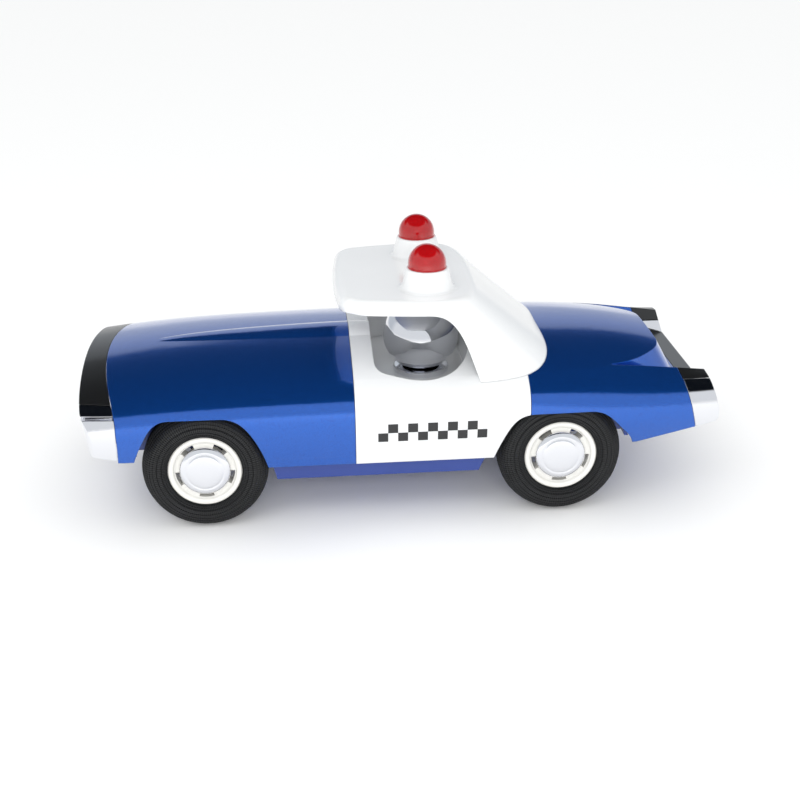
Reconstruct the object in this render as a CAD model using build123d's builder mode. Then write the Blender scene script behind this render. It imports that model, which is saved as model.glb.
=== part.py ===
from build123d import *
import os

# A toy police car, 260 mm long: three glossy shells over a base pan, chrome and black end
# pieces, a white canopy with two beacons, a chrome driver and two free-running axles.
# Millimetres, +Z up, ground at z 0, bonnet towards -X, the car's left side towards -Y.

# Driving dimensions
half_length = 130.0
wall = 1.8
seam_gap = 0.2
front_axle_x = -80.0
rear_axle_x = 65.0
wheel_radius = 25.5
axle_z = wheel_radius
cowl_seam_x = -19.0
door_seam_x = 51.5
hull_bottom = 18.0
hull_half_width = 55.8
hull_top = 66.2
skirt_z = 26.0
past_hull = 80.0
wide = 70.0

# Nose: plan arcs and heights
nose_edge_x = -121.0
nose_edge_side_x = -113.5
nose_half_width = 55.0
nose_lip_z = 61.0
nose_lean = 6.2
grille_z = 54.7
bumper_slot_z = 51.0
bumper_slot_height = 1.3
bumper_slot_depth = 1.2
fascia_wall = 3.0

# Tail: fins, valley and end pieces
fin_crest_y = 38.0
fin_foot_y = 33.6
fin_cap_inner_z = 50.4
fin_cap_outer_z = 63.0
tail_wall = 3.0
tail_recess = 0.4

# Cockpit and canopy
tub_floor_z = 46.0
roof_top_z = 91.0
roof_edge = 5.5
roof_corner = 4.0
head_x = 12.3
head_radius = 16.0
head_z = 62.0
neck_radius = 12.0
neck_height = 2.4
helmet_z = 55.5
helmet_step = 0.3

# Beacons
beacon_x = 13.0
beacon_y = 23.8
pod_foot_radius = 11.5
pod_top_radius = 8.2
pod_top_z = 99.3
lens_radius = 7.8
lens_skirt = 1.9
lens_wall = 1.2

# Wheels
tyre_outer_y = 53.2
tyre_width = 14.7
tyre_bead_radius = 15.0
rim_radius = 14.95
rim_face_y = 51.9
hubcap_radius = 10.3
slot_outer_radius = 12.5
slot_angle = 30.0
slot_count = 5
axle_radius = 2.0
axle_half_length = 49.5
running_clearance = 0.05
bush_radius = 3.0
bush_outer_y = 36.8
bush_length = 9.0
bush_flange = 0.8

# Base pan
tray_half_width = 49.6
tray_bottom = 19.5
spine_half_width = 36.0
spine_bottom = 29.0
plate = 2.5
well_radius = 27.8
well_wall = 1.5
well_outer_y = 48.2
screw_head_radius = 2.8
screw_radius = 1.3
boss_radius = 3.6

os.makedirs("parts", exist_ok=True)


def finish(part, name):
    # Names a finished piece and writes it as one node.
    part.label = name
    export_step(part, f"parts/{name}.step")


# Hull stations along X: droop of the top, widest half width, half width at the top of the
# side, fin or shoulder point (y, z), half-way point of the crown (y, z), crown height,
# and how crisp the shoulder is (0 round, 1 a crease).
hull_stations = [
    (-136.0, 6.0, 54.6, 52.8, (45.5, 60.0), (28.0, 64.0), 66.2, 0.1),
    (-121.0, 4.2, 55.2, 53.4, (45.5, 60.0), (28.0, 64.0), 66.2, 0.1),
    (-100.0, 2.3, 55.6, 53.8, (45.5, 60.0), (28.0, 64.0), 66.2, 0.1),
    (-60.0, 0.6, 55.8, 54.0, (45.5, 60.0), (28.0, 64.0), 66.2, 0.1),
    (-19.0, 0.0, 55.8, 54.0, (45.5, 60.0), (28.0, 64.0), 66.2, 0.1),
    (20.0, 0.0, 55.8, 54.0, (45.5, 60.0), (28.0, 64.0), 66.2, 0.1),
    (51.5, 0.0, 55.8, 54.0, (45.5, 60.0), (28.0, 64.0), 66.2, 0.1),
    (75.0, 0.0, 55.3, 52.4, (43.0, 60.1), (26.0, 63.9), 65.9, 0.5),
    (95.0, 0.0, 54.2, 50.0, (40.3, 59.3), (24.0, 62.8), 64.8, 0.9),
    (116.0, 0.0, 52.6, 47.4, (38.2, 57.2), (22.0, 60.0), 61.8, 1.0),
    (136.0, 0.0, 50.8, 45.4, (38.0, 54.4), (22.0, 56.6), 58.0, 1.0),
]


def mixed(first, second, share):
    return tuple(a * (1 - share) + b * share for a, b in zip(first, second))


def between(first, second):
    return (second[0] - first[0], second[1] - first[1])


def unit(pair):
    size = (pair[0] ** 2 + pair[1] ** 2) ** 0.5
    return (pair[0] / size, pair[1] / size)


def other_side(points):
    return [(-y, z) for y, z in reversed(points)]


def hull_section(station):
    # One closed cross-section in the YZ plane.
    x, droop, widest, upper, shoulder, crown_way, crown, crease = station
    side = [
        (widest - 5.8, hull_bottom),
        (widest - 2.8, 30.0 - 0.2 * droop),
        (widest, 47.5 - 0.5 * droop),
        (upper, 54.0 - 0.8 * droop),
        (shoulder[0], shoulder[1] - droop),
    ]
    way = (crown_way[0], crown_way[1] - droop)
    top = [side[4], way, (0.0, crown - droop), (-way[0], way[1]), (-side[4][0], side[4][1])]
    smooth = unit(between(side[3], way))
    side_end = mixed(smooth, unit(between(side[3], side[4])), crease)
    top_start = mixed(smooth, unit(between(side[4], way)), crease)
    side_start = unit(between(side[0], side[1]))
    left_start = (side_end[0], -side_end[1])
    left_end = (side_start[0], -side_start[1])
    with BuildSketch(Plane.YZ.offset(x)) as section:
        with BuildLine():
            Spline(*side, tangents=(side_start, side_end))
            Spline(*top, tangents=(top_start, (top_start[0], -top_start[1])))
            Spline(*other_side(side), tangents=(left_start, left_end))
            Line((-side[0][0], hull_bottom), (side[0][0], hull_bottom))
        make_face()
    return section.sketch


def valley_outline(height, foot_x, corner_y, side_x, grow):
    # Plan of the hollow between the fins: straight fin sides and the boot's rounded end.
    fin_y = fin_foot_y + grow
    corner = [(side_x, fin_y), (foot_x - 7, corner_y + 6), (foot_x, corner_y - 8)]
    back = [(x, -y) for x, y in reversed(corner)]
    with BuildSketch(Plane.XY.offset(height)) as outline:
        with BuildLine():
            Polyline(back[-1], (140, -fin_y), (140, fin_y), corner[0])
            Spline(*corner, tangents=((1, -0.1), (0, -1)))
            Line(corner[-1], back[0])
            Spline(*back, tangents=((0, -1), (-1, -0.1)))
        make_face()
    return outline.sketch


def valley(inset):
    # The space over the tail, deeper and wider by the inset when it cuts the inner form.
    with BuildPart() as space:
        foot = valley_outline(46.0 - inset, 120.5 - inset, 24.0, 97.0 - inset, inset)
        rim = valley_outline(66.0 - inset, 109.5 - inset, 22.0, 76.0 - inset, 9.5 + inset)
        loft([foot, rim], ruled=True)
        with BuildSketch(Plane.XZ):
            with BuildLine():
                floor = Spline(
                    (74.0, 63.4 - inset),
                    (92.0, 58.4 - inset),
                    (108.0, 52.2 - inset),
                    (120.0, 48.7 - inset),
                    (141.0, 42.6 - inset),
                )
                Polyline(floor @ 1, (141.0, past_hull), (74.0, past_hull), floor @ 0)
            make_face()
        extrude(amount=wide, both=True, mode=Mode.INTERSECT)
    return space.part


with BuildPart() as body_form:
    loft([hull_section(station) for station in hull_stations])


def hull(inset):
    # The body's form, drawn in by a wall from its sides and top, with the tail valley cut.
    narrower = 1 - inset / hull_half_width
    lower = 1 - inset / (hull_top - hull_bottom)
    with BuildPart() as form:
        with Locations((0, 0, hull_bottom * (1 - lower))):
            add(scale(body_form.part, by=(1, narrower, lower), mode=Mode.PRIVATE))
        add(valley(inset), mode=Mode.SUBTRACT)
    return form.part


outer_hull = hull(0.0)
inner_hull = hull(wall)
groove_hull = hull(bumper_slot_depth)


def profile_block(points, half_width=wide):
    # A block with the given outline seen from the side, running across the car.
    with BuildPart() as block:
        with BuildSketch(Plane.XZ):
            with BuildLine():
                Polyline(*points, close=True)
            make_face()
        extrude(amount=half_width, both=True)
    return block.part


def arch_block(start, rise, flat_start, flat_end, fall):
    # The wheel opening: a curve up, a level top and a curve down to the skirt.
    with BuildPart() as opening:
        with BuildSketch(Plane.XZ):
            with BuildLine():
                Spline(start, *rise, flat_start, tangents=((0.35, 1), (1, 0)))
                Line(flat_start, flat_end)
                Spline(flat_end, *fall, tangents=((1, 0), (0.25, -1)))
                Polyline(fall[-1], (fall[-1][0], 0), (start[0], 0), start)
            make_face()
        extrude(amount=wide, both=True)
    return opening.part


front_arch = arch_block(
    (-107.5, 31.5),
    [(-102.4, 42.6)],
    (-92.5, 49.5),
    (-73.0, 49.5),
    [(-61.0, 42.6), (-54.3, 25.5)],
)
rear_arch = arch_block(
    (37.2, 25.5),
    [(42.6, 38.6)],
    (53.5, 46.0),
    (76.0, 46.0),
    [(88.6, 38.6), (94.8, 29.6)],
)


def nose_block(edge_x, edge_side_x):
    # Everything behind the plan arc where the painted shell ends.
    with BuildPart() as block:
        with BuildSketch(Plane.XY):
            with BuildLine():
                ThreePointArc(
                    (edge_side_x, -nose_half_width),
                    (edge_x, 0),
                    (edge_side_x, nose_half_width),
                )
                Polyline(
                    (edge_side_x, nose_half_width),
                    (edge_side_x, wide),
                    (0, wide),
                    (0, -wide),
                    (edge_side_x, -wide),
                    (edge_side_x, -nose_half_width),
                )
            make_face()
        extrude(amount=past_hull)
    return block.part


def nose_form(inset):
    # The front end's plan, nearly flat with round corners, leaning back towards the ground.
    front = inset - half_length
    half = nose_half_width + 1.5 - inset
    with BuildPart() as form:
        with BuildSketch(Plane.XY.offset(nose_lip_z)) as outline:
            with BuildLine():
                bow = ThreePointArc((front + 1.6, half - 6.0), (front, 0), (front + 1.6, 6.0 - half))
                right = TangentArc(bow @ 0, (front + 7.0, half), tangent=bow % 0 * -1)
                left = TangentArc(bow @ 1, (front + 7.0, -half), tangent=bow % 1)
                Polyline(left @ 1, (-90, -half), (-90, half), right @ 1)
            make_face()
        depth = nose_lip_z - hull_bottom
        extrude(amount=depth, dir=(nose_lean, 0, -depth))
        extrude(outline.sketch, amount=3.0, dir=(-nose_lean, 0, depth))
    return form.part


nose_outer = nose_form(0.0)
nose_core = nose_form(bumper_slot_depth)
shell_side_of_nose = nose_block(nose_edge_x + seam_gap, nose_edge_side_x + seam_gap)
fascia_cut = nose_block(nose_edge_x, nose_edge_side_x)

# The bonnet's raised centre: half width and height at stations along X
bulge_stations = [
    (-104.0, 2.0, -0.3),
    (-94.0, 5.0, 0.5),
    (-78.0, 8.0, 1.1),
    (-50.0, 10.0, 1.4),
    (-8.0, 11.0, 1.4),
]


def hull_crown(x):
    # Height of the hull's centre line over the bonnet.
    for ahead, behind in zip(hull_stations, hull_stations[1:]):
        if ahead[0] <= x <= behind[0]:
            share = (x - ahead[0]) / (behind[0] - ahead[0])
            return hull_top - ahead[1] * (1 - share) - behind[1] * share
    return hull_top


with BuildPart() as bonnet_bulge:
    for x, half, height in bulge_stations:
        base = hull_crown(x) - 1.5
        with BuildSketch(Plane.YZ.offset(x)):
            with BuildLine():
                Spline(
                    (half, base + 0.4),
                    (half * 0.5, base + 1.5 + height * 0.7),
                    (0, base + 1.5 + height),
                    (-half * 0.5, base + 1.5 + height * 0.7),
                    (-half, base + 0.4),
                )
                Line((-half, base + 0.4), (half, base + 0.4))
            make_face()
    loft()

with BuildPart() as front_shell:
    add(outer_hull)
    add(inner_hull, mode=Mode.SUBTRACT)
    add(bonnet_bulge.part)
    with Locations((-42, -26, skirt_z), (-42, 26, skirt_z)):
        Cylinder(boss_radius, 36.6, align=(Align.CENTER, Align.CENTER, Align.MIN))
    front_side = [
        (-half_length, 32.6),
        (-112.0, 31.5),
        (-107.5, 31.5),
        (-100.0, skirt_z),
        (cowl_seam_x - seam_gap / 2, skirt_z),
        (cowl_seam_x - seam_gap / 2, past_hull),
        (-half_length, past_hull),
    ]
    add(profile_block(front_side), mode=Mode.INTERSECT)
    add(front_arch, mode=Mode.SUBTRACT)
    add(shell_side_of_nose, mode=Mode.INTERSECT)
    with Locations((-42, -26, skirt_z), (-42, 26, skirt_z)):
        Cylinder(screw_radius, 14, align=(Align.CENTER, Align.CENTER, Align.MIN), mode=Mode.SUBTRACT)
finish(front_shell.part, "front_shell")


def fascia(lowest, highest):
    # A slice of the nose in front of the painted shell, hollow behind its face.
    with BuildPart() as piece:
        add(outer_hull)
        add(nose_outer, mode=Mode.INTERSECT)
        under = [
            (-half_length, max(lowest, 36.4)),
            (-124.0, max(lowest, 35.0)),
            (-112.0, max(lowest, 32.2)),
            (-100.0, max(lowest, 32.2)),
            (-100.0, highest),
            (-half_length, highest),
        ]
        add(profile_block(under), mode=Mode.INTERSECT)
        add(fascia_cut, mode=Mode.SUBTRACT)
    return piece.part


with BuildPart() as nose_hollow:
    with BuildSketch(Plane.YZ.offset(-125.5 + fascia_wall)):
        Polygon((-46, 28), (46, 28), (46, 48), (34, 56), (-34, 56), (-46, 48), align=None)
    extrude(amount=24)

with BuildPart() as groove_core:
    add(groove_hull)
    add(nose_core, mode=Mode.INTERSECT)

with BuildPart() as bumper_groove:
    with Locations((-115, 0, bumper_slot_z)):
        Box(40, 2 * wide, bumper_slot_height)
    add(groove_core.part, mode=Mode.SUBTRACT)

with BuildPart() as front_bumper:
    add(fascia(hull_bottom, grille_z - seam_gap / 2))
    add(nose_hollow.part, mode=Mode.SUBTRACT)
    add(bumper_groove.part, mode=Mode.SUBTRACT)
finish(front_bumper.part, "front_bumper")

with BuildPart() as front_grille:
    add(fascia(grille_z + seam_gap / 2, past_hull))
    add(nose_hollow.part, mode=Mode.SUBTRACT)
finish(front_grille.part, "front_grille")


def tub_outline(grow):
    # Plan of the driver's cockpit: flat in front, round behind.
    front = -10.0 - grow
    side = [
        (front, 33.0),
        (-4.6 - 0.6 * grow, 43.2 + 0.8 * grow),
        (9.5, 47.0 + grow),
        (20.6 + 0.7 * grow, 43.6 + 0.7 * grow),
        (29.6 + 0.9 * grow, 26.0 + 0.3 * grow),
        (31.5 + grow, 0.0),
    ]
    with BuildSketch(Plane.XY) as outline:
        with BuildLine():
            Line((front, -33.0), (front, 33.0))
            Spline(*side, tangents=((0, 1), (0, -1)))
            Spline(*[(x, -y) for x, y in reversed(side)], tangents=((0, -1), (0, 1)))
        make_face()
    return outline.sketch


with BuildPart() as tub_space:
    extrude(tub_outline(0.0), amount=past_hull)
    with Locations((0, 0, tub_floor_z)):
        Box(200, 200, 2 * past_hull, align=(Align.CENTER, Align.CENTER, Align.MIN), mode=Mode.INTERSECT)

with BuildPart() as tub_block:
    extrude(tub_outline(wall), amount=past_hull)
    with Locations((0, 0, tub_floor_z - wall)):
        Box(200, 200, 2 * past_hull, align=(Align.CENTER, Align.CENTER, Align.MIN), mode=Mode.INTERSECT)
    add(outer_hull, mode=Mode.INTERSECT)

with BuildPart() as cockpit_shell:
    add(outer_hull)
    add(inner_hull, mode=Mode.SUBTRACT)
    add(bonnet_bulge.part)
    add(tub_block.part)
    with Locations((20, -30, skirt_z), (20, 30, skirt_z)):
        Cylinder(boss_radius, 18.8, align=(Align.CENTER, Align.CENTER, Align.MIN))
    cabin_side = [
        (cowl_seam_x + seam_gap / 2, skirt_z),
        (door_seam_x - seam_gap / 2, skirt_z),
        (door_seam_x - seam_gap / 2, past_hull),
        (cowl_seam_x + seam_gap / 2, past_hull),
    ]
    add(profile_block(cabin_side), mode=Mode.INTERSECT)
    add(rear_arch, mode=Mode.SUBTRACT)
    add(tub_space.part, mode=Mode.SUBTRACT)
    with Locations((20, -30, skirt_z), (20, 30, skirt_z)):
        Cylinder(screw_radius, 12, align=(Align.CENTER, Align.CENTER, Align.MIN), mode=Mode.SUBTRACT)
finish(cockpit_shell.part, "cockpit_shell")

# The tail's end pieces start on a line that leans back, and further back between the fins.
fin_seam = [(115.0, past_hull), (115.0, 57.0), (120.6, 36.0), (120.6, 30.0)]
valley_seam = [(115.0, past_hull), (115.0, 57.0), (120.3, 48.4), (120.6, 36.0), (120.6, 30.0)]


def ahead_of_tail(shift):
    # Everything in front of the seam, which steps back between the fin crests.
    with BuildPart() as space:
        outside = [(x + shift, z) for x, z in fin_seam]
        add(profile_block(outside + [(60, 30), (60, past_hull)]))
        inside = [(x + shift, z) for x, z in valley_seam]
        add(profile_block(inside + [(60, 30), (60, past_hull)], fin_crest_y))
    return space.part


def behind_shell():
    with BuildPart() as space:
        with Locations((120, 0, 50)):
            Box(70, 4 * wide, 80)
        add(ahead_of_tail(0.0), mode=Mode.SUBTRACT)
    return space.part


with BuildPart() as rear_shell:
    add(outer_hull)
    add(inner_hull, mode=Mode.SUBTRACT)
    with Locations((88, -24, 31.7), (88, 24, 31.7)):
        Cylinder(boss_radius, 30.8, align=(Align.CENTER, Align.CENTER, Align.MIN))
    rear_side = [
        (door_seam_x + seam_gap / 2, skirt_z),
        (94.8, 29.6),
        (121.0, 35.8),
        (140.0, 40.4),
        (140.0, past_hull),
        (door_seam_x + seam_gap / 2, past_hull),
    ]
    add(profile_block(rear_side), mode=Mode.INTERSECT)
    add(rear_arch, mode=Mode.SUBTRACT)
    add(behind_shell(), mode=Mode.SUBTRACT)
    with Locations((88, -24, 31), (88, 24, 31)):
        Cylinder(screw_radius, 12, align=(Align.CENTER, Align.CENTER, Align.MIN), mode=Mode.SUBTRACT)
finish(rear_shell.part, "rear_shell")

# The whole tail end, leaning outwards to the ground, hollow behind its rear face
behind_tail = [
    (100.0, 10.0),
    (110.0, 33.2),
    (121.0, 35.8),
    (129.0, 37.8),
    (half_length, 39.2),
    (half_length, 43.0),
    (126.6, 56.0),
    (126.0, past_hull),
    (150.0, past_hull),
    (150.0, 10.0),
]
with BuildPart() as tail_hollow:
    with BuildSketch(Plane.YZ.offset(half_length - tail_wall)):
        Polygon(
            *[(-46, 28), (46, 28), (47, 46), (40, 50)],
            *[(36, 43.5), (-36, 43.5), (-40, 50), (-47, 46)],
            align=None,
        )
    extrude(amount=-20)

with BuildPart() as tail_end:
    add(outer_hull)
    add(ahead_of_tail(seam_gap), mode=Mode.SUBTRACT)
    with Locations((-40, 0, 50)):
        Box(220, 4 * wide, 160, mode=Mode.SUBTRACT)
    add(profile_block(behind_tail), mode=Mode.SUBTRACT)
    add(tail_hollow.part, mode=Mode.SUBTRACT)


def tail_piece(outline, rear_x):
    # The part of the tail end inside an outline of (y, z) points.
    with BuildPart() as piece:
        add(tail_end.part)
        with BuildSketch(Plane.YZ.offset(rear_x)):
            Polygon(*outline, align=None)
        extrude(amount=-30.0, mode=Mode.INTERSECT)
    return piece.part


def cap_line(side, rise):
    # The edge between bumper and fin cap, which climbs outwards.
    inner = (side * (fin_foot_y + seam_gap), fin_cap_inner_z + rise)
    outer = (side * wide, fin_cap_outer_z + rise)
    return [inner, outer]


for side, name in ((-1, "left"), (1, "right")):
    inner_y = side * (fin_foot_y + seam_gap)
    below = [(side * wide, 30.0), (inner_y, 30.0)]
    above = [(side * wide, past_hull), (inner_y, past_hull)]
    finish(tail_piece(cap_line(side, 0.0) + below, half_length), f"rear_bumper_{name}")
    finish(tail_piece(cap_line(side, seam_gap) + above, half_length), f"fin_cap_{name}")
panel_edge = [(-fin_foot_y, 30.0), (fin_foot_y, 30.0), (fin_foot_y, past_hull), (-fin_foot_y, past_hull)]
finish(tail_piece(panel_edge, half_length - tail_recess), "rear_panel")

# Base pan: a tray between the wheels, a spine under the whole car and four wheel wells
spine_under = [
    (-121.0, 35.6),
    (-112.0, spine_bottom),
    (-60.0, spine_bottom),
    (-52.0, tray_bottom),
    (31.4, tray_bottom),
    (39.0, spine_bottom),
    (93.0, spine_bottom),
    (125.0, 36.6),
]
spine_over = [
    (125.0, 36.6 + plate),
    (92.5, spine_bottom + plate),
    (37.8, spine_bottom + plate),
    (30.2, tray_bottom + plate),
    (-50.8, tray_bottom + plate),
    (-58.8, spine_bottom + plate),
    (-111.2, spine_bottom + plate),
    (-121.0, 35.6 + plate),
]
tray_side = [(-51.2, tray_bottom), (31.4, tray_bottom), (35.4, 28.0), (-53.3, 28.0)]
tray_inside = [
    (-49.2, tray_bottom + plate),
    (29.6, tray_bottom + plate),
    (33.6, 29.0),
    (-51.4, 29.0),
]
tray_screws = [(-42.0, -26.0), (-42.0, 26.0), (20.0, -30.0), (20.0, 30.0)]
spine_screws = [(88.0, -24.0), (88.0, 24.0)]
screw_length = 9.0
screw_head_height = 1.5
axle_places = ((front_axle_x, "front"), (rear_axle_x, "rear"))
housing_screw_reach = 11.5
up = (Align.CENTER, Align.CENTER, Align.MIN)


def wheel_well(axle_x, side):
    # A half-round hood over one wheel, closed towards the middle of the car.
    inner_y = side * (spine_half_width - 1.0)
    axle_plane = Plane(origin=(axle_x, inner_y, axle_z), x_dir=(1, 0, 0), z_dir=(0, side, 0))
    depth = well_outer_y - spine_half_width + 1.0
    with BuildPart() as well:
        with BuildSketch(axle_plane):
            Circle(well_radius + well_wall)
        extrude(amount=depth)
        with BuildSketch(axle_plane.offset(well_wall)):
            Circle(well_radius)
        extrude(amount=depth, mode=Mode.SUBTRACT)
        with Locations((axle_x, 0, 31.7)):
            Box(90, 200, 60, align=(Align.CENTER, Align.CENTER, Align.MIN), mode=Mode.INTERSECT)
        with Locations((axle_x, side * 35.5, spine_bottom + 1)):
            Box(50, 1, 4, align=(Align.CENTER, Align.CENTER, Align.MIN))
    return well.part


with BuildPart() as base_pan:
    add(profile_block(tray_side, tray_half_width))
    add(profile_block(tray_inside, tray_half_width - 1.8), mode=Mode.SUBTRACT)
    add(profile_block(spine_under + spine_over, spine_half_width))
    for axle_x, _ in axle_places:
        for side in (-1, 1):
            add(wheel_well(axle_x, side))
    with Locations(*[(x, y, tray_bottom) for x, y in tray_screws]):
        Cylinder(boss_radius + 1.4, 6.4, align=up)
        Cylinder(screw_radius, 8, mode=Mode.SUBTRACT, align=up)
        Cylinder(screw_head_radius + 0.2, screw_head_height, mode=Mode.SUBTRACT, align=up)
    with Locations(*[(x, y, spine_bottom) for x, y in spine_screws]):
        Cylinder(screw_radius, 8, mode=Mode.SUBTRACT, align=up)
        Cylinder(screw_head_radius + 0.2, screw_head_height, mode=Mode.SUBTRACT, align=up)
    for axle_x, _ in axle_places:
        for reach in (-housing_screw_reach, housing_screw_reach):
            with Locations((axle_x + reach, 0, spine_bottom)):
                Cylinder(boss_radius, 8, align=up)
                Cylinder(screw_radius, 7, mode=Mode.SUBTRACT, align=up)
finish(base_pan.part, "base_pan")


def screws(spots):
    # Cross-head screws pointing up, their heads at the given points.
    with BuildPart() as group:
        with Locations(*spots):
            Cylinder(screw_head_radius, screw_head_height, align=up)
            Cylinder(screw_radius - running_clearance, screw_length, align=up)
            Box(3.4, 0.7, 0.8, align=up, mode=Mode.SUBTRACT)
            Box(0.7, 3.4, 0.8, align=up, mode=Mode.SUBTRACT)
    return group.part


pan_spots = [(x, y, tray_bottom) for x, y in tray_screws]
pan_spots += [(x, y, spine_bottom) for x, y in spine_screws]
finish(screws(pan_spots), "pan_screws")

# Axle housings: a bearing block under the spine with a screwed foot in front and behind
housing_bottom = 19.8
foot_height = 3.0
housing_spots = []
for axle_x, end in axle_places:
    axle_line = Plane(origin=(axle_x, 0, axle_z), x_dir=(1, 0, 0), z_dir=(0, 1, 0))
    foot_bottom = spine_bottom - foot_height
    with BuildPart() as housing:
        with Locations((axle_x, 0, housing_bottom)):
            Box(13, 2 * (bush_outer_y - bush_flange), spine_bottom - housing_bottom, align=up)
        fillet(housing.edges().filter_by(Axis.Y).group_by(Axis.Z)[0], 2.5)
        with Locations((axle_x, 0, foot_bottom)):
            Box(2 * housing_screw_reach + 9, 14, foot_height, align=up)
        with BuildSketch(axle_line):
            Circle(bush_radius)
        extrude(amount=wide, both=True, mode=Mode.SUBTRACT)
        for reach in (-housing_screw_reach, housing_screw_reach):
            with Locations((axle_x + reach, 0, foot_bottom)):
                Cylinder(screw_radius, foot_height, mode=Mode.SUBTRACT, align=up)
            housing_spots.append((axle_x + reach, 0, foot_bottom - screw_head_height))
    finish(housing.part, f"axle_housing_{end}")
finish(screws(housing_spots), "housing_screws")

# Running gear: two axles with bushes, rims, tyres and hubcaps
sides = ((-1, "left"), (1, "right"))


def turned(axle_x, outline):
    # A body of revolution about an axle, from points given as (radius, y).
    with BuildPart() as body:
        with BuildSketch(Plane(origin=(axle_x, 0, axle_z), x_dir=(1, 0, 0), z_dir=(0, 0, 1))):
            with BuildLine():
                Polyline(*outline, close=True)
            make_face()
        revolve(axis=Axis((axle_x, 0, axle_z), (0, 1, 0)))
    return body.part


tyre_inner_y = tyre_outer_y - tyre_width
for axle_x, end in axle_places:
    finish(
        turned(
            axle_x,
            [
                (0, -axle_half_length),
                (axle_radius - 0.4, -axle_half_length),
                (axle_radius, 0.4 - axle_half_length),
                (axle_radius, axle_half_length - 0.4),
                (axle_radius - 0.4, axle_half_length),
                (0, axle_half_length),
            ],
        ),
        f"axle_{end}",
    )
    for side, name in sides:
        wheel = f"{end}_{name}"
        with BuildPart() as tyre:
            plane = Plane(origin=(axle_x, 0, axle_z), x_dir=(1, 0, 0), z_dir=(0, 0, 1))
            with BuildSketch(plane):
                with BuildLine():
                    Polyline(
                        (tyre_bead_radius, side * (tyre_inner_y + 1.5)),
                        (tyre_bead_radius, side * (tyre_outer_y - 1.2)),
                    )
                    Spline(
                        (tyre_bead_radius, side * (tyre_outer_y - 1.2)),
                        (16.2, side * (tyre_outer_y - 0.35)),
                        (19.5, side * tyre_outer_y),
                        (22.6, side * (tyre_outer_y - 0.8)),
                        (24.7, side * (tyre_outer_y - 2.7)),
                        (wheel_radius, side * (tyre_outer_y - 5.4)),
                        tangents=((0.3, side), (0, -side)),
                    )
                    Line(
                        (wheel_radius, side * (tyre_outer_y - 5.4)),
                        (wheel_radius, side * (tyre_inner_y + 3.6)),
                    )
                    Spline(
                        (wheel_radius, side * (tyre_inner_y + 3.6)),
                        (24.2, side * (tyre_inner_y + 0.9)),
                        (21.0, side * tyre_inner_y),
                        (16.5, side * (tyre_inner_y + 0.4)),
                        (tyre_bead_radius, side * (tyre_inner_y + 1.5)),
                        tangents=((0, -side), (-0.3, side)),
                    )
                make_face()
            revolve(axis=Axis((axle_x, 0, axle_z), (0, 1, 0)))
        finish(tyre.part, f"tyre_{wheel}")

        dish_y = rim_face_y - 1.5
        with BuildPart() as rim:
            profile = [
                (axle_radius, 38.2),
                (4.6, 38.2),
                (4.6, 44.0),
                (slot_outer_radius, 44.0),
                (slot_outer_radius, 40.6),
                (rim_radius, 40.6),
                (rim_radius, rim_face_y - 0.5),
                (rim_radius - 0.5, rim_face_y),
                (slot_outer_radius + 0.9, rim_face_y),
                (slot_outer_radius + 0.3, rim_face_y - 0.3),
                (slot_outer_radius - 0.2, dish_y + 0.3),
                (slot_outer_radius - 0.8, dish_y),
                (axle_radius, dish_y),
            ]
            add(turned(axle_x, [(radius, side * y) for radius, y in profile]))
            hub_plane = Plane(origin=(axle_x, 0, axle_z), x_dir=(1, 0, 0), z_dir=(0, -1, 0))
            with BuildSketch(hub_plane):
                with PolarLocations(0, slot_count, start_angle=-90):
                    with BuildLine(mode=Mode.PRIVATE) as slot:
                        inner_arc = CenterArc((0, 0), 8.6, -slot_angle / 2, slot_angle)
                        outer_arc = CenterArc(
                            (0, 0), slot_outer_radius - 0.5, -slot_angle / 2, slot_angle
                        )
                        Line(inner_arc @ 0, outer_arc @ 0)
                        Line(inner_arc @ 1, outer_arc @ 1)
                    add(make_face(slot.edges(), mode=Mode.PRIVATE))
            extrude(amount=wide, both=True, mode=Mode.SUBTRACT)
        finish(rim.part, f"rim_{wheel}")

        cap = [
            (0, dish_y + 0.05),
            (hubcap_radius - 0.4, dish_y + 0.05),
            (hubcap_radius, dish_y + 0.5),
            (hubcap_radius, dish_y + 0.9),
            (hubcap_radius - 0.5, dish_y + 1.5),
            (8.2, dish_y + 2.0),
            (7.7, dish_y + 1.95),
            (7.3, dish_y + 2.2),
            (4.0, dish_y + 2.45),
            (0, dish_y + 2.5),
        ]
        finish(turned(axle_x, [(radius, side * y) for radius, y in cap]), f"hubcap_{wheel}")

        bush_inner_y = bush_outer_y - bush_length
        bore = axle_radius + running_clearance
        bush = [
            (bore, bush_inner_y),
            (bush_radius, bush_inner_y),
            (bush_radius, bush_outer_y - bush_flange),
            (bush_radius + 1.4, bush_outer_y - bush_flange),
            (bush_radius + 1.4, bush_outer_y),
            (bore, bush_outer_y),
        ]
        finish(turned(axle_x, [(radius, side * y) for radius, y in bush]), f"axle_bush_{wheel}")

# Canopy: one drafted form, level roof and sloping back, hollowed from below
canopy_foot_z = 58.0
canopy_front = [(-25.0, 0.0), (-23.4, 31.0)]
canopy_corner = (-20.6, 37.4)
canopy_foot = [(-13.0, 43.0), (0.0, 46.6), (14.0, 48.8), (32.0, 49.6), (46.0, 48.4)]
canopy_foot += [(58.0, 44.5), (66.0, 36.0), (71.0, 20.0), (72.0, 0.0)]
canopy_roof = [(-13.0, 41.2), (0.0, 43.2), (8.0, 44.2), (14.0, 44.4), (20.0, 43.6)]
canopy_roof += [(27.0, 39.0), (31.0, 29.0), (32.4, 14.0), (32.6, 0.0)]


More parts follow.
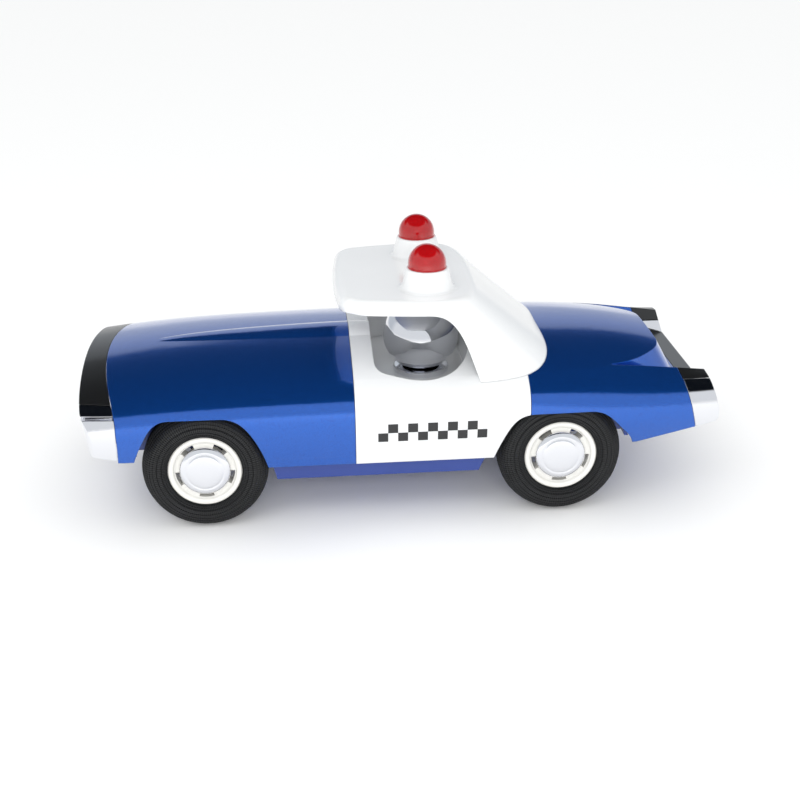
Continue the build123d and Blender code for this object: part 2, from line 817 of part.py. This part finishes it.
def canopy_outline(height, side_inset, back_inset):
    share = (height - canopy_foot_z) / (roof_top_z - canopy_foot_z)
    narrower = 1 - side_inset / 46.0
    half = []
    for foot, roof in zip(canopy_foot, canopy_roof):
        x, y = mixed(foot, roof, share)
        back = max(0.0, (x - 20.0) / (canopy_foot[-1][0] - 20.0))
        half.append((x - back_inset * back, y * narrower))
    ring = half + [(x, -y) for x, y in reversed(half[:-1])]
    nose, cheek = [(x, y * narrower) for x, y in canopy_front]
    corner = (canopy_corner[0], canopy_corner[1] * narrower)
    with BuildSketch(Plane.XY.offset(height)) as outline:
        with BuildLine():
            ThreePointArc((cheek[0], -cheek[1]), nose, cheek)
            Spline(cheek, corner, ring[0], tangents=((0.12, 1), (1, 0.16)))
            Spline(*ring, tangents=((1, 0.16), (-1, 0.16)))
            back_corner = (corner[0], -corner[1])
            end = (cheek[0], -cheek[1])
            Spline(ring[-1], back_corner, end, tangents=((-1, 0.16), (-0.12, 1)))
        make_face()
    return outline.sketch


def canopy_form(low, high, side_inset, back_inset):
    with BuildPart() as form:
        foot = canopy_outline(low, side_inset, back_inset)
        roof = canopy_outline(high, side_inset, back_inset)
        loft([foot, roof], ruled=True)
    return form.part


with BuildPart() as canopy:
    add(canopy_form(canopy_foot_z - 6.0, roof_top_z, 0.0, 0.0))
    fillet(canopy.edges().group_by(Axis.Z)[-1], roof_corner)
    add(canopy_form(canopy_foot_z - 10.0, roof_top_z - roof_edge, 3.0, 4.5), mode=Mode.SUBTRACT)
    with BuildSketch(Plane.XZ):
        with BuildLine():
            pillar = Spline(
                (34.5, 50.0),
                (32.0, 58.0),
                (28.5, 68.0),
                (21.0, 82.0),
                (12.0, roof_top_z - roof_edge),
                tangents=((-0.25, 1), (-1, 0)),
            )
            front_of_windows = (-40.0, roof_top_z - roof_edge)
            Polyline(pillar @ 1, front_of_windows, (-40.0, 40.0), (34.5, 40.0), pillar @ 0)
        make_face()
    extrude(amount=wide, both=True, mode=Mode.SUBTRACT)
    add(outer_hull, mode=Mode.SUBTRACT)
finish(canopy.part, "canopy")

# Beacons: a flared pod and a hollow lens on each side of the roof
for side, name in sides:
    place = Plane(origin=(beacon_x, side * beacon_y, 0), x_dir=(1, 0, 0), z_dir=(0, -1, 0))
    spin = Axis((beacon_x, side * beacon_y, 0), (0, 0, 1))
    with BuildPart() as pod:
        with BuildSketch(place):
            with BuildLine():
                foot, top = (pod_foot_radius, roof_top_z), (pod_top_radius, pod_top_z)
                Polyline(foot, (0, roof_top_z), (0, pod_top_z), top)
                Spline(top, (9.6, 95.0), foot, tangents=((0.3, -1), (0.9, -1)))
            make_face()
        revolve(axis=spin)
    finish(pod.part, f"beacon_pod_{name}")
    with BuildPart() as lens:
        for radius, mode in (
            (lens_radius, Mode.ADD),
            (lens_radius - lens_wall, Mode.SUBTRACT),
        ):
            with BuildSketch(place):
                with BuildLine():
                    dome = CenterArc((0, pod_top_z + lens_skirt), radius, 0, 90)
                    Polyline(dome @ 1, (0, pod_top_z), (radius, pod_top_z), dome @ 0)
                make_face()
            revolve(axis=spin, mode=mode)
    finish(lens.part, f"beacon_lens_{name}")

# The driver: a ball head with a helmet, standing on a neck ring
neck_top = tub_floor_z + neck_height
with BuildPart() as neck:
    with Locations((head_x, 0, tub_floor_z)):
        Cylinder(neck_radius, neck_height, align=up)
    chamfer(neck.edges().group_by(Axis.Z)[-1], 0.5)
finish(neck.part, "driver_neck")

with BuildPart() as head:
    with Locations((head_x, 0, head_z)):
        Sphere(head_radius - helmet_step)
    with Locations((head_x, 0, neck_top)):
        Box(60, 60, 60, align=up, mode=Mode.INTERSECT)
finish(head.part, "driver_head")

with BuildPart() as helmet:
    with Locations((head_x, 0, head_z)):
        Sphere(head_radius + helmet_step)
        Sphere(head_radius - helmet_step + running_clearance, mode=Mode.SUBTRACT)
    with Locations((head_x, 0, helmet_z)):
        Box(60, 60, 60, align=up, mode=Mode.INTERSECT)
finish(helmet.part, "driver_helmet")
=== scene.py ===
import bpy
from math import asin, radians, sin, cos, pi
from mathutils import Vector, Matrix


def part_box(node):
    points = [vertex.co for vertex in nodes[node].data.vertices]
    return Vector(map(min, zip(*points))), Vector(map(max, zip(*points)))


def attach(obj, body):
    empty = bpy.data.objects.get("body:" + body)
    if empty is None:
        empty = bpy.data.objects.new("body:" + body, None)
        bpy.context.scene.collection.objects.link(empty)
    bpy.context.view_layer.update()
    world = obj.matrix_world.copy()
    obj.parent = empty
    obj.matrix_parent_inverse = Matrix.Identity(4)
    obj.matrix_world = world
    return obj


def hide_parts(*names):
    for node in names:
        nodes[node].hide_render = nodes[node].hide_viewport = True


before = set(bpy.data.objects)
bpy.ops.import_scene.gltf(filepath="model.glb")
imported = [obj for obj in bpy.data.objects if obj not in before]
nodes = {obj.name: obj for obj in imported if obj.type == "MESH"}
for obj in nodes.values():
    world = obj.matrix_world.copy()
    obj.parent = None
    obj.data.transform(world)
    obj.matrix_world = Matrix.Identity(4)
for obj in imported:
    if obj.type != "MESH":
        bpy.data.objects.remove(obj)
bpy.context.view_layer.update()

mm = 0.001
sides = {"left": -1, "right": 1}
axles = {"front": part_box("axle_front"), "rear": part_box("axle_rear")}


def linear(hexColour):
    # sRGB hex to the linear RGBA that shader sockets take
    channels = [int(hexColour[i:i + 2], 16) / 255 for i in (1, 3, 5)]
    red, green, blue = (
        c / 12.92 if c <= 0.04045 else ((c + 0.055) / 1.055) ** 2.4 for c in channels
    )
    return red, green, blue, 1


def addNode(tree, kind, settings=None, links=None):
    # settings: attribute or input -> value; links: input -> output socket.
    # On a colour Mix node, inputs 6 and 7 are the two colours and output 2 is the result.
    node = tree.nodes.new(kind)
    for key, value in (settings or {}).items():
        if isinstance(key, str) and hasattr(node, key):
            setattr(node, key, value)
        else:
            node.inputs[key].default_value = value
    for key, socket in (links or {}).items():
        tree.links.new(socket, node.inputs[key])
    return node


def newMaterial(name, settings):
    material = bpy.data.materials.new(name)
    material.use_nodes = True
    tree = material.node_tree
    shader = tree.nodes["Principled BSDF"]
    for key, value in settings.items():
        shader.inputs[key].default_value = value
    return material, tree, shader


def objectCoordinates(tree):
    return addNode(tree, "ShaderNodeTexCoord").outputs["Object"]


def perMillimetre(size):
    # noise scale for features of the given size in millimetres
    return 1000 / size


def clearSelection():
    if bpy.context.mode != "OBJECT":
        bpy.ops.object.mode_set(mode="OBJECT")
    bpy.ops.object.select_all(action="DESELECT")


def applyPlace():
    bpy.ops.object.transform_apply(location=True, rotation=True, scale=True)


def applyModifiers(piece):
    bpy.context.view_layer.objects.active = piece
    for modifier in list(piece.modifiers):
        bpy.ops.object.modifier_apply(modifier=modifier.name)


def dress(piece, material, body, replaced=()):
    piece.data.materials.clear()
    piece.data.materials.append(material)
    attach(piece, body)
    if replaced:
        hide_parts(*replaced)


def turned(name, centre, direction, rings, segments, closed=False):
    # A lathe form: a circle extruded ring by ring. rings are (radius, distance) in mm,
    # the distance measured along the direction ("y" or "z", with its sign).
    sign = -1 if direction.startswith("-") else 1
    axis = direction[-1]
    turn = {"y": (radians(90), 0, 0), "z": (0, 0, 0)}[axis]
    along = {"y": Vector((0, sign, 0)), "z": Vector((0, 0, sign))}[axis]
    clearSelection()
    radius, distance = rings[0]
    place = Vector(centre) + along * distance * mm
    bpy.ops.mesh.primitive_circle_add(
        vertices=segments, radius=radius * mm, location=place, rotation=turn
    )
    piece = bpy.context.object
    piece.name = name
    applyPlace()
    bpy.ops.object.mode_set(mode="EDIT")
    bpy.ops.mesh.select_all(action="SELECT")
    if not closed:
        bpy.ops.mesh.edge_face_add()
        bpy.ops.mesh.select_all(action="SELECT")
    for nextRadius, nextDistance in rings[1:]:
        step = along * (nextDistance - distance) * mm
        if closed:
            bpy.ops.mesh.extrude_edges_move()
        else:
            bpy.ops.mesh.extrude_region_move()
        bpy.ops.transform.translate(value=step)
        place = place + step
        factor = nextRadius / radius
        scale = [factor, factor, factor]
        scale["xyz".index(axis)] = 1
        bpy.ops.transform.resize(value=scale, center_override=place)
        radius, distance = nextRadius, nextDistance
    if closed:
        bpy.ops.mesh.select_all(action="DESELECT")
        bpy.ops.mesh.select_non_manifold()
        bpy.ops.mesh.bridge_edge_loops()
    bpy.ops.mesh.select_all(action="SELECT")
    bpy.ops.mesh.normals_make_consistent(inside=False)
    bpy.ops.object.mode_set(mode="OBJECT")
    piece.data.name = name
    return piece


def turnedCopy(source, name, move, halfTurn=False):
    # A copy with its own mesh, turned half round the upright through the origin if asked
    piece = source.copy()
    piece.data = source.data.copy()
    piece.name = piece.data.name = name
    bpy.context.collection.objects.link(piece)
    turn = Matrix.Rotation(pi, 4, "Z") if halfTurn else Matrix.Identity(4)
    piece.data.transform(Matrix.Translation(move) @ turn)
    return piece


def glossySkin(tree, shader, edge, waveSize, strength, depth):
    # Low, even waviness of a gloss surface, and edges rounded enough to catch the light
    wave = addNode(tree, "ShaderNodeTexNoise", {"Scale": perMillimetre(waveSize), "Detail": 2.0},
                   {"Vector": objectCoordinates(tree)})
    bump = addNode(tree, "ShaderNodeBump", {"Strength": strength, "Distance": depth * mm},
                   {"Height": wave.outputs["Fac"]})
    rounded = addNode(tree, "ShaderNodeBevel", {"samples": 6, "Radius": edge * mm},
                      {"Normal": bump.outputs["Normal"]})
    tree.links.new(rounded.outputs["Normal"], shader.inputs["Normal"])


def metallicBluePaint():
    # Aluminium-flake basecoat under clear lacquer: deep blue with a bright face-on glow.
    # The flake cells are 0.45 mm across, coarser than real ones.
    material, tree, shader = newMaterial("metallic blue lacquer", {
        "Metallic": 0.78, "Roughness": 0.2, "Coat Weight": 1.0, "Coat Roughness": 0.02,
        "Coat IOR": 1.5})
    flakes = addNode(tree, "ShaderNodeTexVoronoi", {"Scale": perMillimetre(0.45)},
                     {"Vector": objectCoordinates(tree)})
    tone = addNode(tree, "ShaderNodeMix",
                   {"data_type": "RGBA", 6: linear("#1c67cc"), 7: linear("#134eac")},
                   {0: flakes.outputs["Distance"]})
    tree.links.new(tone.outputs[2], shader.inputs["Base Color"])
    glossySkin(tree, shader, edge=0.5, waveSize=3.0, strength=0.06, depth=0.05)
    return material


def glossPlastic(name, colour, tint, roughness, edge):
    # Injection-moulded ABS: even colour, a soft mirror gloss and a hint of moulding flow
    material, tree, shader = newMaterial(name, {
        "Roughness": roughness, "IOR": 1.52, "Coat Weight": 0.35, "Coat Roughness": 0.08})
    flow = addNode(tree, "ShaderNodeTexNoise", {"Scale": perMillimetre(22), "Detail": 3.0},
                   {"Vector": objectCoordinates(tree)})
    tone = addNode(tree, "ShaderNodeMix",
                   {"data_type": "RGBA", 6: linear(colour), 7: linear(tint)},
                   {0: flow.outputs["Fac"]})
    tree.links.new(tone.outputs[2], shader.inputs["Base Color"])
    glossySkin(tree, shader, edge=edge, waveSize=2.2, strength=0.05, depth=0.04)
    return material


def chromePlate():
    # Vacuum-metallised plastic: a true mirror with very faint waviness
    material, tree, shader = newMaterial("plated chrome", {
        "Base Color": linear("#e9eaee"), "Metallic": 1.0})
    haze = addNode(tree, "ShaderNodeTexNoise", {"Scale": perMillimetre(9), "Detail": 4.0},
                   {"Vector": objectCoordinates(tree)})
    rough = addNode(tree, "ShaderNodeMapRange", {"To Min": 0.04, "To Max": 0.085},
                    {"Value": haze.outputs["Fac"]})
    tree.links.new(rough.outputs["Result"], shader.inputs["Roughness"])
    glossySkin(tree, shader, edge=0.35, waveSize=7.0, strength=0.05, depth=0.05)
    return material


def tyreRubber():
    # Carbon-black moulded rubber: deep grey, matt, with a powdery bloom on high spots
    material, tree, shader = newMaterial("moulded rubber", {"IOR": 1.52})
    grain = addNode(tree, "ShaderNodeTexNoise", {"Scale": perMillimetre(0.8), "Detail": 6.0},
                    {"Vector": objectCoordinates(tree)})
    bloom = addNode(tree, "ShaderNodeTexNoise", {"Scale": perMillimetre(11), "Detail": 3.0},
                    {"Vector": objectCoordinates(tree)})
    tone = addNode(tree, "ShaderNodeMix",
                   {"data_type": "RGBA", 6: linear("#0f0f10"), 7: linear("#1f2022")},
                   {0: bloom.outputs["Fac"]})
    rough = addNode(tree, "ShaderNodeMapRange", {"To Min": 0.42, "To Max": 0.62},
                    {"Value": grain.outputs["Fac"]})
    bump = addNode(tree, "ShaderNodeBump", {"Strength": 0.35, "Distance": 0.06 * mm},
                   {"Height": grain.outputs["Fac"]})
    tree.links.new(tone.outputs[2], shader.inputs["Base Color"])
    tree.links.new(rough.outputs["Result"], shader.inputs["Roughness"])
    tree.links.new(bump.outputs["Normal"], shader.inputs["Normal"])
    return material


def redLens():
    # Clear red acrylic moulding: saturated where thick, with sharp highlights
    material, tree, shader = newMaterial("red acrylic", {
        "Roughness": 0.06, "IOR": 1.49, "Transmission Weight": 0.4,
        "Coat Weight": 0.6, "Coat Roughness": 0.03})
    streak = addNode(tree, "ShaderNodeTexNoise", {"Scale": perMillimetre(5), "Detail": 2.0},
                     {"Vector": objectCoordinates(tree)})
    tone = addNode(tree, "ShaderNodeMix",
                   {"data_type": "RGBA", 6: linear("#d8161d"), 7: linear("#bb0f15")},
                   {0: streak.outputs["Fac"]})
    tree.links.new(tone.outputs[2], shader.inputs["Base Color"])
    glossySkin(tree, shader, edge=0.2, waveSize=2.0, strength=0.05, depth=0.03)
    return material


def workedSteel(name, colour, roughness, grainSize):
    # Drawn or zinc-plated steel: grey metal, its sheen broken up by a fine grain
    material, tree, shader = newMaterial(name, {"Base Color": linear(colour), "Metallic": 1.0})
    grain = addNode(tree, "ShaderNodeTexNoise", {"Scale": perMillimetre(grainSize), "Detail": 5.0},
                    {"Vector": objectCoordinates(tree)})
    rough = addNode(tree, "ShaderNodeMapRange",
                    {"To Min": roughness, "To Max": roughness + 0.15},
                    {"Value": grain.outputs["Fac"]})
    tree.links.new(rough.outputs["Result"], shader.inputs["Roughness"])
    return material


bluePaint = metallicBluePaint()
bluePlastic = glossPlastic("blue ABS", "#1b3a8c", "#1a3682", roughness=0.3, edge=0.4)
whitePlastic = glossPlastic("gloss white ABS", "#e9eaeb", "#e5e6e7", roughness=0.16, edge=0.7)
podPlastic = glossPlastic("gloss white ABS cap", "#e9eaeb", "#e5e6e7", roughness=0.16, edge=0.03)
blackPlastic = glossPlastic("satin black ABS", "#131415", "#17181a", roughness=0.34, edge=0.4)
creamPlastic = glossPlastic("off-white wheel plastic", "#e6e5e1", "#e1dfd9", roughness=0.26, edge=0.25)
markingPaint = glossPlastic("black pad print", "#141416", "#18181a", roughness=0.3, edge=0.02)
nylon = glossPlastic("black nylon", "#1a1b1c", "#202122", roughness=0.5, edge=0.3)
acetal = glossPlastic("natural acetal", "#dcdad2", "#d4d2ca", roughness=0.42, edge=0.2)
chrome = chromePlate()
rubber = tyreRubber()
lensRed = redLens()
axleSteel = workedSteel("drawn steel rod", "#a9abae", roughness=0.22, grainSize=0.6)
zincSteel = workedSteel("zinc-plated steel", "#b4b5b0", roughness=0.28, grainSize=0.9)

# CAD nodes that keep their own shape, by material
keptNodes = {
    "front_shell": bluePaint, "rear_shell": bluePaint, "base_pan": bluePlastic,
    "cockpit_shell": whitePlastic, "canopy": whitePlastic,
    "front_bumper": chrome, "rear_bumper_left": chrome, "rear_bumper_right": chrome,
    "front_grille": blackPlastic, "rear_panel": blackPlastic,
    "fin_cap_left": blackPlastic, "fin_cap_right": blackPlastic,
    "driver_neck": chrome, "pan_screws": zincSteel, "housing_screws": zincSteel,
    "axle_housing_front": nylon, "axle_housing_rear": nylon,
    "axle_front": axleSteel, "axle_rear": axleSteel,
}
for end in axles:
    for side in sides:
        keptNodes[f"rim_{end}_{side}"] = creamPlastic
        keptNodes[f"axle_bush_{end}_{side}"] = acetal
for nodeName, material in keptNodes.items():
    mesh = nodes[nodeName].data
    mesh.materials.clear()
    mesh.materials.append(material)
print("shells, trim and running gear finished")


tyre = {
    "segments": 144,
    "notchDepth": 0.22,
    "notchMargin": 0.12,
    "notchRadii": (23.35, 24.6),
    "notchBeyond": 49,  # only the outer shoulder
    "smoothAngle": 42,
    "rings": [  # radius and distance from the car's centre plane
        (15.0, 40.2), (15.0, 51.9), (15.5, 52.5), (16.3, 52.8), (17.2, 52.9), (17.5, 53.15),
        (19.2, 53.2), (19.5, 52.95), (21.0, 52.85), (22.3, 52.4), (23.3, 51.7), (24.0, 50.9),
        (24.75, 49.7), (25.25, 48.4), (25.5, 47.2), (25.5, 46.2), (25.0, 46.0), (25.0, 45.4),
        (25.5, 45.2), (25.5, 43.6), (25.0, 43.4), (25.0, 42.8), (25.5, 42.6), (25.4, 41.4),
        (24.9, 40.2), (24.0, 39.2), (22.6, 38.65), (20.5, 38.5), (17.0, 38.8), (15.4, 39.5),
    ],
}
hubcap = {
    "segments": 96,
    "smoothAngle": 50,
    "rings": [
        (9.7, 50.47), (10.15, 50.6), (10.3, 50.9), (10.3, 51.3), (10.15, 51.6), (9.6, 51.95),
        (8.7, 52.3), (8.2, 52.42), (7.9, 52.4), (7.65, 52.28), (7.4, 52.3), (7.15, 52.5),
        (6.8, 52.62), (5.5, 52.76), (3.6, 52.85), (1.8, 52.89), (0.3, 52.9),
    ],
}


def cutNotches(piece, centre):
    # Alternate faces of the outer shoulder are inset and pressed in: the moulded grip ring
    clearSelection()
    piece.select_set(True)
    bpy.context.view_layer.objects.active = piece
    nearest, furthest = tyre["notchRadii"]
    for face in piece.data.polygons:
        offset = face.center - centre
        spoke = Vector((offset.x, offset.z))
        turns = spoke.angle_signed(Vector((1, 0))) / (2 * pi)
        spot = round(turns * tyre["segments"] - 0.5)
        onShoulder = abs(face.center.y) > tyre["notchBeyond"] * mm
        face.select = nearest < spoke.length / mm < furthest and onShoulder and spot % 2 == 0
    bpy.ops.object.mode_set(mode="EDIT")
    bpy.ops.mesh.select_mode(type="FACE")
    bpy.ops.mesh.inset(
        thickness=tyre["notchMargin"] * mm, depth=-tyre["notchDepth"] * mm, use_individual=True
    )
    bpy.ops.object.mode_set(mode="OBJECT")


frontX = (axles["front"][0][0] + axles["front"][1][0]) / 2
rearX = (axles["rear"][0][0] + axles["rear"][1][0]) / 2
axleZ = (axles["front"][0][2] + axles["front"][1][2]) / 2
frontCentre = Vector((frontX, 0, axleZ))

firstTyre = turned("tyre front left tread", frontCentre, "-y",
                   tyre["rings"], tyre["segments"], closed=True)
cutNotches(firstTyre, frontCentre)
firstHubcap = turned("hubcap front left dome", frontCentre, "-y",
                     hubcap["rings"], hubcap["segments"])
for source, angle in ((firstTyre, tyre["smoothAngle"]), (firstHubcap, hubcap["smoothAngle"])):
    clearSelection()
    source.select_set(True)
    bpy.context.view_layer.objects.active = source
    bpy.ops.object.shade_smooth_by_angle(angle=radians(angle))

for end, axleX in (("front", frontX), ("rear", rearX)):
    for side in sides:
        halfTurn = side == "right"
        shift = Vector((axleX + frontX if halfTurn else axleX - frontX, 0, 0))
        for source, word, node, material, slot in (
            (firstTyre, "tread", "tyre", rubber, "tyre_rubber"),
            (firstHubcap, "dome", "hubcap", chrome, "chrome_plate"),
        ):
            piece = turnedCopy(source, f"{node}_{end}_{side}_{word}", shift, halfTurn)
            dress(piece, material, f"{end}_wheels", [f"{node}_{end}_{side}"])
for source in (firstTyre, firstHubcap):
    bpy.data.objects.remove(source)
print("wheels finished")


beacon = {
    "segments": 96,
    "podSmooth": 50,
    "pod": [
        (12.6, 90.97), (12.0, 91.03), (11.4, 91.2), (10.9, 91.6), (10.5, 92.3), (10.05, 93.6),
        (9.6, 95.4), (9.2, 97.2), (8.85, 98.5), (8.65, 99.0), (8.35, 99.24), (8.0, 99.3),
        (4.0, 99.3),
    ],
    "lensRadius": 7.8,
    "lensWall": 1.2,
    "lensFoot": 99.32,
    "lensSmooth": 40,
    "rim": [  # of the lens: radius, and height above its foot
        (7.8, 0.7), (8.0, 0.5), (8.0, 0.1), (7.9, 0), (6.7, 0),
    ],
    "skirt": 1.9,
    "domeSteps": 14,
}


def domeRings(radius, foot, skirt, steps):
    # From the crown down to the foot of a half-round dome on a short skirt
    rings = []
    for step in range(1, steps + 1):
        turn = radians(90) * (1 - step / steps)
        rings.append((radius * cos(turn), foot + skirt + radius * sin(turn)))
    return rings


for side in sides:
    low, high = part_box(f"beacon_pod_{side}")
    centre = Vector(((low[0] + high[0]) / 2, (low[1] + high[1]) / 2, 0))
    pod = turned(f"beacon_pod_{side}_flare", centre, "z", beacon["pod"], beacon["segments"])
    bpy.ops.object.shade_smooth_by_angle(angle=radians(beacon["podSmooth"]))
    dress(pod, podPlastic, "car", [f"beacon_pod_{side}"])
    foot, skirt, steps = beacon["lensFoot"], beacon["skirt"], beacon["domeSteps"]
    outer = domeRings(beacon["lensRadius"], foot, skirt, steps)
    inner = domeRings(beacon["lensRadius"] - beacon["lensWall"], foot, skirt, steps)
    rim = [(radius, foot + rise) for radius, rise in beacon["rim"]]
    lens = turned(f"beacon_lens_{side}_dome", centre, "z",
                  outer + rim + inner[::-1], beacon["segments"])
    bpy.ops.object.shade_smooth_by_angle(angle=radians(beacon["lensSmooth"]))
    dress(lens, lensRed, "car", [f"beacon_lens_{side}"])
print("beacons finished")


driver = {
    "segments": 128,
    "steps": 30,
    "radius": 15.7,
    "ballSmooth": 50,
    "helmetRadius": 16.3,
    "helmetFoot": 55.5,
    "helmetSmooth": 60,
    "lip": [(14.75, 0.25), (14.85, 0), (15.0, -0.05)],  # radius, and height above the foot
    "lipHeight": 0.3,
}
headLow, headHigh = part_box("driver_head")
headX = (headLow[0] + headHigh[0]) / 2
headZ = headHigh[2] / mm - driver["radius"]


def ballRings(radius, lowest, steps):
    # Rings up a ball about the head's centre, from a height nearly to its top
    first, last = asin((lowest - headZ) / radius), radians(89)
    turns = [first + (last - first) * k / steps for k in range(steps + 1)]
    return [(radius * cos(turn), headZ + radius * sin(turn)) for turn in turns]


headFoot = headLow[2] / mm
ball = turned("driver_head_ball", (headX, 0, 0), "z",
              ballRings(driver["radius"], headFoot, driver["steps"]), driver["segments"])
bpy.ops.object.shade_smooth_by_angle(angle=radians(driver["ballSmooth"]))
dress(ball, chrome, "car", ["driver_head"])

foot = driver["helmetFoot"]
lip = [(radius, foot + rise) for radius, rise in driver["lip"]]
shell = ballRings(driver["helmetRadius"], foot + driver["lipHeight"], driver["steps"])
helmet = turned("driver_helmet_cap", (headX, 0, 0), "z", lip + shell, driver["segments"])
bpy.ops.object.shade_smooth_by_angle(angle=radians(driver["helmetSmooth"]))
dress(helmet, chrome, "car", ["driver_helmet"])
print("driver finished")


marking = {
    "columns": 11,
    "rows": 2,
    "square": 4.0,
    "centre": (12.0, 40.5),
    "thickness": 0.08,
    "lift": 0.03,
    "cuts": 3,
    "startsAt": 62,
    "reach": 15,
}
for side, sign in sides.items():
    clearSelection()
    middleX, middleZ = marking["centre"]
    wide = marking["columns"] * marking["square"] * mm
    tall = marking["rows"] * marking["square"] * mm
    bpy.ops.mesh.primitive_grid_add(
        x_subdivisions=marking["columns"], y_subdivisions=marking["rows"], size=1,
        location=(middleX * mm, sign * marking["startsAt"] * mm, middleZ * mm),
        rotation=(radians(90), 0, 0 if sign < 0 else pi),
    )
    band = bpy.context.object
    band.name = band.data.name = f"door_chequer_{side}"
    band.scale = (wide, tall, 1)
    applyPlace()
    for face in band.data.polygons:
        column = round((face.center.x / mm - middleX) / marking["square"])
        row = 0 if face.center.z / mm < middleZ else 1
        face.select = (column + row) % 2 == 0
    bpy.ops.object.mode_set(mode="EDIT")
    bpy.ops.mesh.select_mode(type="FACE")
    bpy.ops.mesh.delete(type="FACE")
    bpy.ops.mesh.select_all(action="SELECT")
    bpy.ops.mesh.edge_split(type="EDGE")
    bpy.ops.mesh.subdivide(number_cuts=marking["cuts"])
    bpy.ops.object.mode_set(mode="OBJECT")
    wrap = band.modifiers.new("onto the door", "SHRINKWRAP")
    wrap.target = nodes["cockpit_shell"]
    wrap.wrap_method = "PROJECT"
    wrap.use_project_x = wrap.use_project_z = False
    wrap.use_project_y = True
    wrap.use_positive_direction = wrap.use_negative_direction = True
    wrap.project_limit = marking["reach"] * mm
    wrap.offset = marking["lift"] * mm
    skin = band.modifiers.new("ink", "SOLIDIFY")
    skin.thickness = marking["thickness"] * mm
    skin.offset = 1
    applyModifiers(band)
    dress(band, markingPaint, "car")
print("door marking finished")


studio = {
    "floorSize": 8,
    "lit": "#fbfcfc",      # what lights the surfaces
    "strength": 1.03,
    "table": "#fbfcfd",    # what polished surfaces see at table height
    "farWall": "#c3c9d0",  # and behind the car, up to half height
    "room": "#e3e6e9",     # and on the near side
    "ceiling": "#0b0f15",
}
clearSelection()
bpy.ops.mesh.primitive_plane_add(size=studio["floorSize"], location=(0, 0, 0))
floor = bpy.context.object
floor.name = "studio floor"
paper = newMaterial("white paper sweep", {"Base Color": linear("#fdfdfd"), "Roughness": 0.9})[0]
floor.data.materials.append(paper)

skyEdges = {
    # direction, and where along it the change starts and ends
    "farSide": ("Y", 0.05, 0.45),
    "overFarWall": ("Z", 0.4, 0.46),
    "overRoom": ("Z", 0.66, 0.76),
    "overTable": ("Z", -0.02, 0.1),
}
world = bpy.data.worlds.new("white studio")
bpy.context.scene.world = world
world.use_nodes = True
sky = world.node_tree
direction = addNode(sky, "ShaderNodeTexCoord").outputs["Generated"]
way = addNode(sky, "ShaderNodeSeparateXYZ", links={"Vector": direction})
edges = {}
for name, (axis, start, end) in skyEdges.items():
    edge = addNode(sky, "ShaderNodeMapRange", {
        "interpolation_type": "SMOOTHSTEP", "From Min": start, "From Max": end,
    }, {"Value": way.outputs[axis]})
    edges[name] = edge.outputs["Result"]

ceiling = linear(studio["ceiling"])
far = addNode(sky, "ShaderNodeMix",
              {"data_type": "RGBA", 6: linear(studio["farWall"]), 7: ceiling},
              {0: edges["overFarWall"]})
near = addNode(sky, "ShaderNodeMix",
               {"data_type": "RGBA", 6: linear(studio["room"]), 7: ceiling},
               {0: edges["overRoom"]})
walls = addNode(sky, "ShaderNodeMix", {"data_type": "RGBA"},
                {0: edges["farSide"], 6: near.outputs[2], 7: far.outputs[2]})
mirrored = addNode(sky, "ShaderNodeMix", {"data_type": "RGBA", 6: linear(studio["table"])},
                   {0: edges["overTable"], 7: walls.outputs[2]})
path = addNode(sky, "ShaderNodeLightPath")
seen = addNode(sky, "ShaderNodeMix", {"data_type": "RGBA", 6: linear(studio["lit"])},
               {0: path.outputs["Is Glossy Ray"], 7: mirrored.outputs[2]})
background = sky.nodes["Background"]
sky.links.new(seen.outputs[2], background.inputs["Color"])
background.inputs["Strength"].default_value = studio["strength"]

softboxes = [
    # name, place, width, height, watts; none shows in reflections
    ("key softbox", (-0.5, -0.9, 1.1), 0.9, 0.6, 2.2),
    ("side window", (-0.1, -1.0, 0.3), 0.9, 0.4, 0.8),
    ("cockpit fill", (-0.02, -0.5, 0.24), 0.25, 0.12, 0.7),
]
aim = Vector((0, 0, 0.04))
for name, place, width, tall, watts in softboxes:
    light = bpy.data.lights.new(name, "AREA")
    light.shape = "RECTANGLE"
    light.size, light.size_y, light.energy = width, tall, watts
    lamp = bpy.data.objects.new(name, light)
    lamp.location = place
    lamp.rotation_euler = (aim - Vector(place)).to_track_quat("-Z", "Y").to_euler()
    lamp.visible_glossy = False
    bpy.context.collection.objects.link(lamp)

view = {
    "place": (-0.0353, -0.5171, 0.2498),
    "target": (0.0030, 0.0, 0.0313),
    "lens": 57.15,
    "sensor": 36,
    "roll": -0.77,
}
cameraData = bpy.data.cameras.new("camera")
cameraData.lens = view["lens"]
cameraData.sensor_width = view["sensor"]
camera = bpy.data.objects.new("camera", cameraData)
bpy.context.collection.objects.link(camera)
look = (Vector(view["target"]) - Vector(view["place"])).normalized()
right = look.cross(Vector((0, 0, 1))).normalized()
up = right.cross(look)
roll = radians(view["roll"])
tiltedRight = right * cos(roll) + up * sin(roll)
tiltedUp = up * cos(roll) - right * sin(roll)
facing = Matrix((tiltedRight, tiltedUp, -look)).transposed().to_4x4()
camera.matrix_world = Matrix.Translation(view["place"]) @ facing
bpy.context.scene.camera = camera
bpy.context.scene.view_settings.view_transform = "Standard"
print("stage finished")
